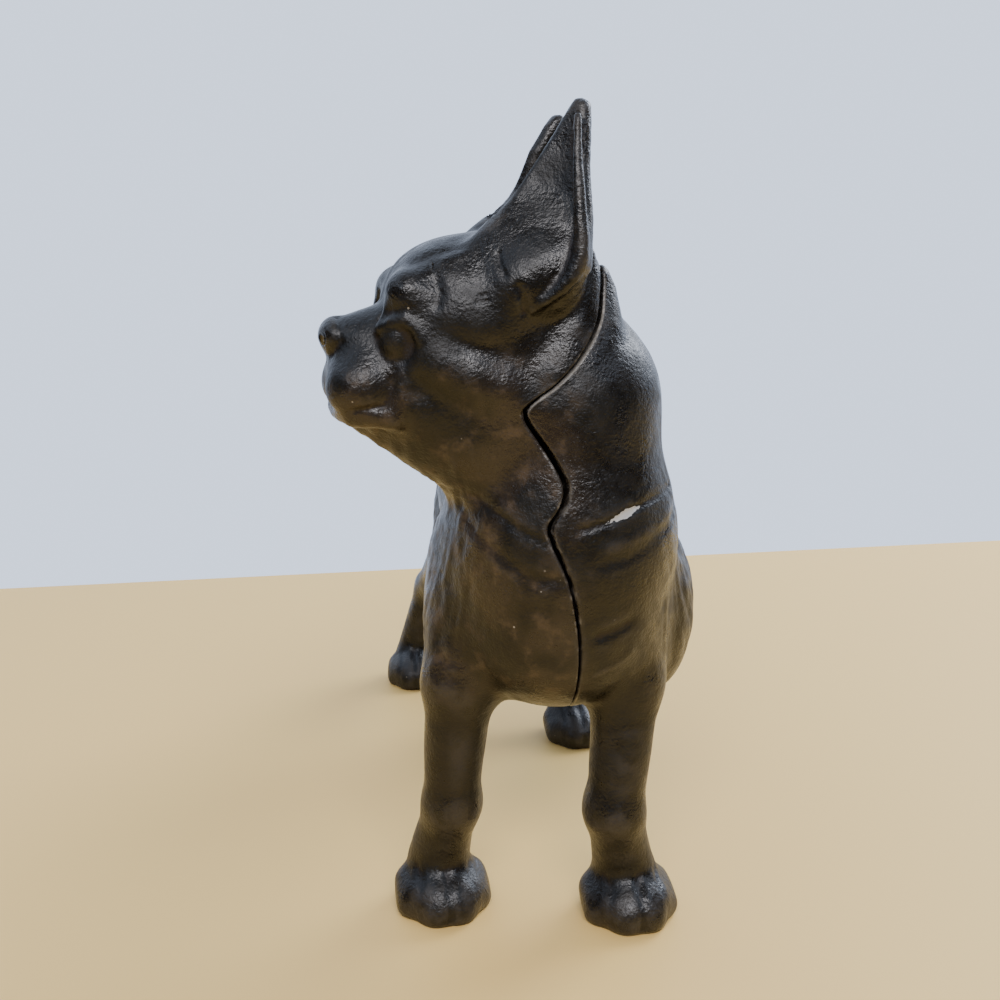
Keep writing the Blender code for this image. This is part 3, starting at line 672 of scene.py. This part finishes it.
def normals_of(data):
    return places_of(data, "normal")


def put_places(data, place):
    data.vertices.foreach_set("co", np.ascontiguousarray(place, np.float32).ravel())
    data.update()


def overlapping_halves():
    """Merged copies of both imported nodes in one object, with the parting walls pushed past each other."""
    mesh = bmesh.new()
    for name, side in (("right_half", -1), ("left_half", 1)):
        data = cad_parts[name].data.copy()
        place = to_shares(places_of(data))
        on_wall = np.abs(past_parting(place, side)) < NEAR_WALL
        place[on_wall, 0] -= side * WALL_PUSH
        put_places(data, to_metres(place))
        mesh.from_mesh(data)
    bmesh.ops.remove_doubles(mesh, verts=mesh.verts, dist=1e-6)
    data = bpy.data.meshes.new("whole_skin")
    mesh.to_mesh(data)
    mesh.free()
    figure = bpy.data.objects.new("whole_skin", data)
    bpy.context.scene.collection.objects.link(figure)
    return figure


def even_faces(piece, voxel):
    """Closed skin of even square faces, one voxel wide."""
    modifier = piece.modifiers.new("even faces", "REMESH")
    modifier.mode = "VOXEL"
    modifier.voxel_size = voxel
    graph = bpy.context.evaluated_depsgraph_get()
    piece.data = bpy.data.meshes.new_from_object(piece.evaluated_get(graph))
    piece.modifiers.clear()


def finer_within(piece, low, high):
    """Cuts every edge inside the box in two, so that small features there get four times the faces."""
    mesh = bmesh.new()
    mesh.from_mesh(piece.data)
    place = to_shares(places_of(piece.data))
    inside = np.all((place > low) & (place < high), axis=1)
    edges = [edge for edge in mesh.edges if inside[edge.verts[0].index] and inside[edge.verts[1].index]]
    bmesh.ops.subdivide_edges(mesh, edges=edges, cuts=1, use_grid_fill=True)
    mesh.to_mesh(piece.data)
    mesh.free()


skin = overlapping_halves()
even_faces(skin, SKIN_VOXEL)
finer_within(skin, *FINE_HEAD)
blown_out = to_shares(places_of(skin.data)) + BLOWN_OUT * normals_of(skin.data)
put_places(skin.data, to_metres(slid_onto(blown_out, masses)))
print("whole skin", len(skin.data.vertices), "points")

# %% [markdown]
# ## Coat and casting skin
# The coat is carved as low, long strokes that follow the hair: down the neck and the shoulders, backwards
# along the ribs, down the thighs. The face, the breast and the paws have none. Under it all the mould left
# soft dents. Both come from value noise: random heights on a lattice, blended smoothly between its nodes,
# with the lattice stretched along the hair for the strokes. Folds are pressed in at the same time. The chip
# in the paint is marked before that, as the distance to a thin lens that lies along the slit in the neck.

# %% Coat


def random_heights(cells, seed):
    """A fixed random number, -1 to 1, for each whole-number lattice node (N, 3)."""
    mixed = (cells[:, 0] * 73856093) ^ (cells[:, 1] * 19349663) ^ (cells[:, 2] * 83492791)
    mixed ^= seed * 2654435761
    mixed = (mixed ^ (mixed >> 13)) * 1274126177
    mixed = (mixed ^ (mixed >> 16)) & 0xFFFFFF
    return mixed / 0x7FFFFF - 1.0


def soft_noise(points, seed):
    """Heights between lattice nodes one apart: the eight corners' values, eased by t*t*(3-2t) each way."""
    cell = np.floor(points).astype(np.int64)
    t = points - cell
    t = t * t * (3 - 2 * t)
    height = np.zeros(len(points))
    for corner in np.ndindex(2, 2, 2):
        corner = np.array(corner)
        weight = np.prod(np.where(corner, t, 1 - t), axis=1)
        height += weight * random_heights(cell + corner, seed)
    return height


def strokes(points, hair, across, along, seed):
    """Noise drawn out along the hair direction: lattice cells are across wide and along long, in shares."""
    hair = np.array(hair, float)
    hair /= np.linalg.norm(hair)
    run = points @ hair
    side = points - run[:, None] * hair
    sway = 0.5 * soft_noise(points / (along * 0.8), seed + 7)[:, None]
    stretched = side / across + sway + (run / along)[:, None] * hair
    return soft_noise(stretched, seed)


def coat(points):
    """Height of the hair strokes over the skin, in shares."""
    x, y, z = points.T
    on_neck = smooth_step(y, -34, -18) * smooth_step(z, 46, 58) * (1 - smooth_step(z, 80, 86))
    on_neck *= smooth_step(x, -9, 2)
    on_shoulder = smooth_step(z, 29, 38) * (1 - smooth_step(z, 58, 68)) * (1 - smooth_step(y, -6, 2))
    on_shoulder *= smooth_step(np.abs(x + 1), 9, 13)
    on_barrel = smooth_step(y, -14, -4) * smooth_step(z, 30, 36)
    on_thigh = smooth_step(y, 16, 24) * smooth_step(z, 22, 30)
    down = strokes(points, (0.15, 0.35, -1), 0.75, 5.5, 1)
    back = strokes(points, (0, 1, -0.22), 0.8, 6.0, 2)
    rear = strokes(points, (0, 0.55, -1), 0.8, 5.5, 3)
    height = 0.16 * down * np.maximum(on_neck, on_shoulder)
    height += 0.12 * back * on_barrel * (1 - on_thigh)
    height += 0.12 * rear * on_thigh * (1 - smooth_step(z, 62, 70))
    return height


def casting_dents(points):
    """Soft dents left by the mould, about 12 and 5 mm across."""
    return 0.08 * soft_noise(points / 4.8, 11) + 0.04 * soft_noise(points / 2.0, 12)


def pressed_folds(points):
    """Height of the folds and ridges: a bell curve of the distance to each fold's line, in shares."""
    height = np.zeros(len(points))
    for fold in folds:
        margin = 3 * fold["width"]
        low, high = fold["line"].min(axis=0) - margin, fold["line"].max(axis=0) + margin
        near = np.all((points > low) & (points < high), axis=1)
        away = from_chain(points[near], fold["line"])
        height[near] -= fold["depth"] * np.exp(-(away / fold["width"]) ** 2)
    return height


def store(data, name, values):
    """Keeps one number for each point of the mesh under a name."""
    layer = data.attributes.new(name, "FLOAT", "POINT")
    layer.data.foreach_set("value", np.ascontiguousarray(values, np.float32))


CHIP_LINE = [(1.0, -39.5, 53.4), (3.2, -38.5, 54.2), (5.4, -36.9, 54.9)]
chip = chain(slid(np.array(CHIP_LINE), lambda place: form(place, masses)), (0.05, 0.5, 0.05), 0)

place = to_shares(places_of(skin.data))
store(skin.data, "chip", distance(chip, place) * SHARE * 1000)
off_floor = smooth_step(place[:, 2], 0.2, 1.2)
height = pressed_folds(place) + (coat(place) + casting_dents(place)) * off_floor
place = place + normals_of(skin.data) * height[:, None]
place[:, 2] = np.maximum(place[:, 2], 0)
put_places(skin.data, to_metres(place))
print("relief from", round(height.min() * SHARE * 1000, 2), "to", round(height.max() * SHARE * 1000, 2), "mm")

# %% [markdown]
# ## Parting the skin
# The whole skin is parted where the casting is. Each half is straightened so that its parting face is the
# plane u = 0, cut clean there, and bent back. Two extra rings of points beside the cut let the lip be
# rounded by a quarter circle. The cap that closes it is cut into strips to follow the parting's wave.

# %% Cut
LIP_ROUND = 0.3
LIP_RINGS = (0.12, 0.3)
CAP_STRIP = 1.5
BLEND_STRIP = 2.0


def straightened(place, side):
    """Shares with x replaced by u, the distance inside the half's parting face."""
    middle, half_gap = parting_place(place[:, 1], place[:, 2])
    return np.column_stack((side * (place[:, 0] - middle) - half_gap, place[:, 1:]))


def bent_back(place, side):
    """The reverse of straightened."""
    middle, half_gap = parting_place(place[:, 1], place[:, 2])
    return np.column_stack((middle + side * (place[:, 0] + half_gap), place[:, 1:]))


def cut_at(mesh, parts, axis, place, clear=False):
    """Cuts parts of the mesh with the plane at place along an axis. clear drops what lies below it."""
    normal = Vector(np.eye(3)[axis])
    return bmesh.ops.bisect_plane(mesh, geom=parts, dist=1e-5, plane_co=normal * place, plane_no=normal,
                                  clear_inner=clear)


def everything(mesh):
    return mesh.verts[:] + mesh.edges[:] + mesh.faces[:]


def parted(new_name, side):
    """One half of the skin: cut, lip rounded, closed with a cap that follows the parting."""
    data = skin.data.copy()
    data.name = new_name
    put_places(data, straightened(to_shares(places_of(data)), side))
    mesh = bmesh.new()
    mesh.from_mesh(data)
    cut_at(mesh, everything(mesh), 0, 0, clear=True)
    for ring in LIP_RINGS:
        cut_at(mesh, everything(mesh), 0, ring)
    mesh.to_mesh(data)
    mesh.free()
    inside = places_of(data)[:, 0]
    put_places(data, bent_back(places_of(data), side))
    past_ring = np.clip(1 - inside / LIP_ROUND, 0, 1)
    rounding = LIP_ROUND * (1 - np.sqrt(1 - past_ring ** 2))
    put_places(data, places_of(data) - normals_of(data) * rounding[:, None])

    mesh = bmesh.new()
    mesh.from_mesh(data)
    rim = [edge for edge in mesh.edges if edge.is_boundary]
    outer = set(mesh.verts)
    cap = bmesh.ops.triangle_fill(mesh, edges=rim, use_beauty=True, normal=(-side, 0, 0))["geom"]
    faces = [part for part in cap if isinstance(part, bmesh.types.BMFace)]
    heights = np.arange(CAP_STRIP, 104, CAP_STRIP)
    depths = np.arange(*PARTING_BLEND, BLEND_STRIP)
    for axis, cuts in (2, heights), (1, depths):
        for place in cuts:
            parts = set(faces)
            for face in faces:
                parts.update(face.edges)
                parts.update(face.verts)
            made = cut_at(mesh, list(parts), axis, place)["geom"]
            faces = [part for part in made if isinstance(part, bmesh.types.BMFace)]
    cap_faces = set(faces)
    walls = [vert for vert in mesh.verts
             if vert not in outer and all(face in cap_faces for face in vert.link_faces)]
    place = np.array([vert.co for vert in walls])
    place[:, 0] = 0
    for vert, co in zip(walls, bent_back(place, side)):
        vert.co = co
    bmesh.ops.recalc_face_normals(mesh, faces=mesh.faces)
    mesh.to_mesh(data)
    mesh.free()
    put_places(data, to_metres(places_of(data)))
    shell = bpy.data.objects.new(new_name, data)
    bpy.context.scene.collection.objects.link(shell)
    triangles = sum(len(face.vertices) - 2 for face in data.polygons)
    print(new_name, len(data.vertices), "points,", triangles, "triangles")
    return shell


halves = [(parted("right_shell", -1), -1), (parted("left_shell", 1), 1)]
bpy.data.objects.remove(skin)

# %% [markdown]
# ## What the paint needs to know
# Old paint is rubbed grey on whatever sticks out, and dull and brown with dirt in whatever lies deep. How
# far a point stands out is measured by comparing it with the mean of its neighbours, spread over a few
# rounds. The depth behind the parting's lip is stored too, in millimetres, with two shares from 0 to 1: how
# much the left half's lip behind the ear is lightened, partly for worn metal and partly as a painted
# highlight on its rounded edge, and how much brown dust lies on the breast and the throat.

# %% Wear attributes
MEAN_ROUNDS = 8


def neighbours_mean(values, edges, count):
    """Mean of each point's neighbours, from sums over the edge list."""
    total = np.zeros_like(values)
    for one, other in ((0, 1), (1, 0)):
        np.add.at(total, edges[:, one], values[edges[:, other]])
    return total / count[:, None]


def standing_out(data, rounds):
    """How far each point stands out of the mean of the skin round it, in mm."""
    place = places_of(data)
    edges = np.empty(len(data.edges) * 2, np.int32)
    data.edges.foreach_get("vertices", edges)
    edges = edges.reshape(-1, 2)
    count = np.maximum(np.bincount(edges.ravel(), minlength=len(place)), 1)
    spread = place
    for _ in range(rounds):
        spread = neighbours_mean(spread, edges, count)
    return ((place - spread) * normals_of(data)).sum(axis=1) * 1000


for shell, side in halves:
    place = to_shares(places_of(shell.data))
    store(shell.data, "proud", standing_out(shell.data, MEAN_ROUNDS))
    store(shell.data, "lip", -past_parting(place, side) * SHARE * 1000)
    behind_ear = smooth_step(place[:, 2], 64.5, 67) * (1 - smooth_step(place[:, 2], 77, 80))
    # the left half's lip behind the ear is lightened for worn metal and as a painted highlight on its rounded
    # edge
    store(shell.data, "worn_and_highlit", 0.6 * behind_ear * (side > 0) * (place[:, 1] < -30))
    breast = smooth_step(place[:, 2], 26, 38) * (1 - smooth_step(place[:, 2], 64, 76))
    breast *= (1 - smooth_step(place[:, 1], -22, -8)) * (1 - smooth_step(place[:, 0], -5, 2))
    store(shell.data, "dusty", breast)
    print(shell.name, "wear stored")

# %% [markdown]
# ## Old black enamel on cast iron
# The real finish is black enamel, satin and a little brown with age, over a casting whose sand grain still
# shows through. It is a dielectric, so metallic stays at nought and the IOR is that of old oil paint. Each
# layer of colour has a share from 0 to 1, worked out by a table from noise and from what the mesh has stored.
# Sizes are in millimetres. Real sand grain is finer than the picture shows, so it is drawn 0.9 mm wide.

# %% Paint


def linear(hex_colour):
    """sRGB hex to linear, by the standard curve."""
    channels = [int(hex_colour[place:place + 2], 16) / 255 for place in (1, 3, 5)]
    return (*[c / 12.92 if c <= 0.04045 else ((c + 0.055) / 1.055) ** 2.4 for c in channels], 1)


def add_node(tree, kind, values):
    """Adds a node. Values go by name or number to its properties and inputs, and a socket is linked."""
    node = tree.nodes.new(kind)
    for key, value in values.items():
        if isinstance(value, bpy.types.NodeSocket):
            tree.links.new(value, node.inputs[key])
        elif isinstance(key, str) and hasattr(node, key):
            setattr(node, key, value)
        else:
            node.inputs[key].default_value = value
    return node


def per_mm(size_mm):
    """Noise scale in Object coordinates, which are metres, for features of a given size."""
    return 1000 / size_mm


# size in mm, detail and roughness of each noise
NOISES = {
    "patches": (22, 3.0, 0.5), "blotches": (6, 4.0, 0.6), "grain": (0.9, 2.0, 0.6), "dents": (3.2, 4.0, 0.6),
    "lip noise": (3.5, 2.0, 0.5), "area noise": (30, 2.0, 0.5), "edge noise": (1.4, 2.0, 0.5),
}
BAND_INPUTS = ("Value", "From Min", "From Max", "To Min", "To Max")
# how each share, and the roughness, follows from earlier rows: a BAND eases from 0 at its first number to 1
# at its second, or between two more numbers where they are given
SHARES = [
    ("brown patches", "BAND", "patches", 0.42, 0.6),
    ("brown places", "BAND", "dusty", 0.0, 1.0, 0.15, 1.0),
    ("brown", "MULTIPLY", "brown patches", "brown places"),
    ("dust spots", "BAND", "blotches", 0.5, 0.7),
    ("dust patches", "BAND", "patches", 0.3, 0.55),
    ("spotty dust", "MULTIPLY", "dust spots", "dust patches"),
    ("dust", "MULTIPLY", "spotty dust", "dusty"),
    ("squared blotches", "MULTIPLY", "blotches", "blotches"),
    ("uneven height", "ADD", "proud", "squared blotches"),
    ("hollow", "BAND", "uneven height", 0.10, -0.16),
    ("dirt spots", "BAND", "blotches", 0.3, 0.6, 0.3, 0.9),
    ("dirt", "MULTIPLY", "hollow", "dirt spots"),
    ("ridge", "BAND", "proud", 0.10, 0.34),
    ("ridge spots", "BAND", "blotches", 0.35, 0.6, 0.1, 0.7),
    ("rubbed ridge", "MULTIPLY", "ridge", "ridge spots"),
    # the lip rows lighten the parting's lip: partly worn metal, partly a painted highlight along its rounded
    # edge
    ("lip spots", "BAND", "lip noise", 0.5, 0.65),
    ("faint lip spots", "MULTIPLY", "lip spots", 0.35),
    ("lip wear and highlight", "ADD", "faint lip spots", "worn_and_highlit"),
    ("near the lip", "BAND", "lip", 0.9, 0.3),
    ("outside the gap", "BAND", "lip", -0.1, 0.1),
    ("on the lip", "MULTIPLY", "near the lip", "outside the gap"),
    ("worn and highlit lip", "MULTIPLY", "lip wear and highlight", "on the lip"),
    ("small dots", "BAND", "dot distance", 0.075, 0.045),
    ("few dots", "BAND", "dot chance", 0.62, 0.66),
    ("dots", "MULTIPLY", "small dots", "few dots"),
    ("dotted areas", "BAND", "area noise", 0.45, 0.6, 0.1, 0.9),
    ("specks", "MULTIPLY", "dots", "dotted areas"),
    ("ragged chip", "ADD", "chip", "edge noise"),
    ("chip's edge", "BAND", "ragged chip", 1.3, 0.9),
    ("chipped", "BAND", "ragged chip", 0.55, 0.42),
    ("dull blotches", "BAND", "blotches", 0.3, 0.7, 0.23, 0.40),
    ("dull patches", "BAND", "patches", 0.42, 0.56, 0.12, 0.0),
    ("dull hollow", "MULTIPLY", "hollow", 0.12),
    ("dull chip", "MULTIPLY", "chipped", 0.3),
    ("dull paint", "ADD", "dull blotches", "dull patches"),
    ("dull dirt", "ADD", "dull paint", "dull hollow"),
    ("roughness", "ADD", "dull dirt", "dull chip"),
]
BLACK = "#090909"
# the light grey of the lip is partly worn metal and partly a painted highlight
LAYERS = [("brown", "#2B241D"), ("dust", "#45392C"), ("dirt", "#1A110C"), ("rubbed ridge", "#35312D"),
          ("worn and highlit lip", "#8C877F"), ("specks", "#8E8880"), ("chip's edge", "#0D0B0A"), ("chipped", "#B2B2B0")]


def black_enamel():
    """Black paint with the layers mixed over it in turn, and two sizes of bump."""
    paint = bpy.data.materials.new("old_black_enamel")
    paint.use_nodes = True
    tree = paint.node_tree
    shader = tree.nodes["Principled BSDF"]
    place = tree.nodes.new("ShaderNodeTexCoord").outputs["Object"]
    made = {}
    for name in ("proud", "lip", "worn_and_highlit", "chip", "dusty"):
        made[name] = add_node(tree, "ShaderNodeAttribute", {"attribute_name": name}).outputs["Fac"]
    for name, (size, detail, rough) in NOISES.items():
        values = {"Scale": per_mm(size), "Detail": detail, "Roughness": rough, "Vector": place}
        made[name] = add_node(tree, "ShaderNodeTexNoise", values).outputs["Fac"]
    cells = add_node(tree, "ShaderNodeTexVoronoi", {"Scale": per_mm(5.5), "Randomness": 1.0, "Vector": place})
    made["dot distance"], made["dot chance"] = cells.outputs["Distance"], cells.outputs["Color"]

    for name, operation, first, *rest in SHARES:
        if operation == "BAND":
            values = {"interpolation_type": "SMOOTHSTEP", **dict(zip(BAND_INPUTS, (made[first], *rest)))}
            made[name] = add_node(tree, "ShaderNodeMapRange", values).outputs[0]
        else:
            values = {"operation": operation, 0: made[first], 1: made.get(rest[0], rest[0])}
            made[name] = add_node(tree, "ShaderNodeMath", values).outputs[0]

    colour = linear(BLACK)
    for share, hex_colour in LAYERS:
        # a Mix node's colours go into inputs 6 and 7 and come out of output 2
        values = {"data_type": "RGBA", "Factor": made[share], 6: colour, 7: linear(hex_colour)}
        colour = add_node(tree, "ShaderNodeMix", values).outputs[2]
    tree.links.new(colour, shader.inputs["Base Color"])
    tree.links.new(made["roughness"], shader.inputs["Roughness"])
    shader.inputs["IOR"].default_value = 1.46

    fine = add_node(tree, "ShaderNodeBump", {"Strength": 1.0, "Distance": 0.0002, "Height": made["grain"]})
    values = {"Strength": 0.8, "Distance": 0.0004, "Height": made["dents"], "Normal": fine.outputs[0]}
    broad = add_node(tree, "ShaderNodeBump", values)
    tree.links.new(broad.outputs[0], shader.inputs["Normal"])
    return paint


enamel = black_enamel()
for shell, side in halves:
    shell.data.materials.clear()
    shell.data.materials.append(enamel)
    shell.data.shade_smooth()
print("enamel has", len(enamel.node_tree.nodes), "nodes")

# %% [markdown]
# ## Tying the shells to the frame
# Each fine shell stands for its imported half and rides on the one rigid body.

# %% Frame
for (shell, side), node in zip(halves, ("right_half", "left_half")):
    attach(shell, "root")
    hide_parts(node)
print("shells placed")

# %% [markdown]
# ## Floor, light and camera
# Shiny black paint shows little but its surroundings. A plain floor in the warm tone of scrubbed wood gives
# the breast and the legs their brown reflection, and it ends a little behind the camera, as a table does.
# Dark boards in front, at the sides and overhead stand for a dim room and keep the lower face and the paws'
# tops dark. A soft box high in front lights the temple and the ear, and one from the right and behind
# lights the nape. The camera stands a little above the dog's eye, close in front of its chest.

# %% Stage
TABLE_FRONT = -0.52
TABLE_BACK = 0.305
TABLE_SIDE = 2.5
ROOM_LEFT = -1.7
ROOM_RIGHT = 1.5
ROOM_FRONT = -1.5
ROOM_FLOOR = -0.7
EYE = (-0.06835, -0.43365, 0.2134)
EYE_TURN = 10
EYE_DOWN = 12.8
FOCAL_MM = 43.2
DARK = "#2B2724"


def board(name, colour, low, high):
    """A plain flat board between two opposite corners, part of the studio."""
    first, second = [axis for axis in range(3) if low[axis] != high[axis]]
    corners = np.array([low] * 4, float)
    corners[1:3, first] = high[first]
    corners[2:, second] = high[second]
    data = bpy.data.meshes.new(name)
    data.from_pydata(corners, [], [(0, 1, 2, 3)])
    thing = bpy.data.objects.new(name, data)
    bpy.context.scene.collection.objects.link(thing)
    surface = bpy.data.materials.new(name)
    surface.use_nodes = True
    shader = surface.node_tree.nodes["Principled BSDF"]
    shader.inputs["Base Color"].default_value = linear(colour)
    shader.inputs["Roughness"].default_value = 0.6
    data.materials.append(surface)


def soft_box(name, place, aim, size, power, colour):
    """An area light with a size in metres and a power in watts, turned to face a place."""
    light = bpy.data.lights.new(name, "AREA")
    light.shape = "RECTANGLE"
    light.size, light.size_y = size
    light.energy = power
    light.color = linear(colour)[:3]
    lamp = bpy.data.objects.new(name, light)
    bpy.context.scene.collection.objects.link(lamp)
    lamp.location = place
    lamp.rotation_euler = (Vector(aim) - Vector(place)).to_track_quat("-Z", "Y").to_euler()


def sky():
    """The plain pale backdrop, which lights the statue from all sides."""
    world = bpy.data.worlds.new("studio")
    world.use_nodes = True
    backdrop = world.node_tree.nodes["Background"]
    backdrop.inputs["Color"].default_value = linear("#C6D3EA")
    backdrop.inputs["Strength"].default_value = 2.1
    bpy.context.scene.world = world


def photographer():
    """The camera, turned and tipped by the photograph's own angles."""
    lens = bpy.data.cameras.new("camera")
    lens.sensor_width = 36
    lens.lens = FOCAL_MM
    lens.clip_start = 0.01
    camera = bpy.data.objects.new("camera", lens)
    bpy.context.scene.collection.objects.link(camera)
    camera.location = EYE
    turn, down = math.radians(EYE_TURN), math.radians(EYE_DOWN)
    ahead = Vector((math.sin(turn) * math.cos(down), math.cos(turn) * math.cos(down), -math.sin(down)))
    camera.rotation_euler = ahead.to_track_quat("-Z", "Y").to_euler()
    bpy.context.scene.camera = camera


board("floor", "#F1C877", (-TABLE_SIDE, TABLE_FRONT, 0), (TABLE_SIDE, TABLE_BACK, 0))
board("dark_front", DARK, (ROOM_LEFT, ROOM_FRONT, ROOM_FLOOR), (ROOM_RIGHT, ROOM_FRONT, 1.1))
board("dark_ground", DARK, (ROOM_LEFT, ROOM_FRONT, ROOM_FLOOR), (ROOM_RIGHT, 0.3, ROOM_FLOOR))
board("dark_left", DARK, (ROOM_LEFT, ROOM_FRONT, 0), (ROOM_LEFT, 1.2, 1.3))
board("dark_right", DARK, (ROOM_RIGHT, ROOM_FRONT, 0), (ROOM_RIGHT, 0.25, 1.2))
board("dark_above", "#3A3836", (-0.7, -0.62, 1.05), (0.5, 0.0, 1.05))
sky()
soft_box("window_front", (-0.13, -1.01, 0.97), (0, -0.1, 0.2), (0.85, 0.32), 15, "#F4EFEE")
soft_box("window_right", (0.9, 0.5, 0.8), (0, 0, 0.12), (0.6, 0.6), 12, "#E6ECF6")
photographer()
print("stage set")
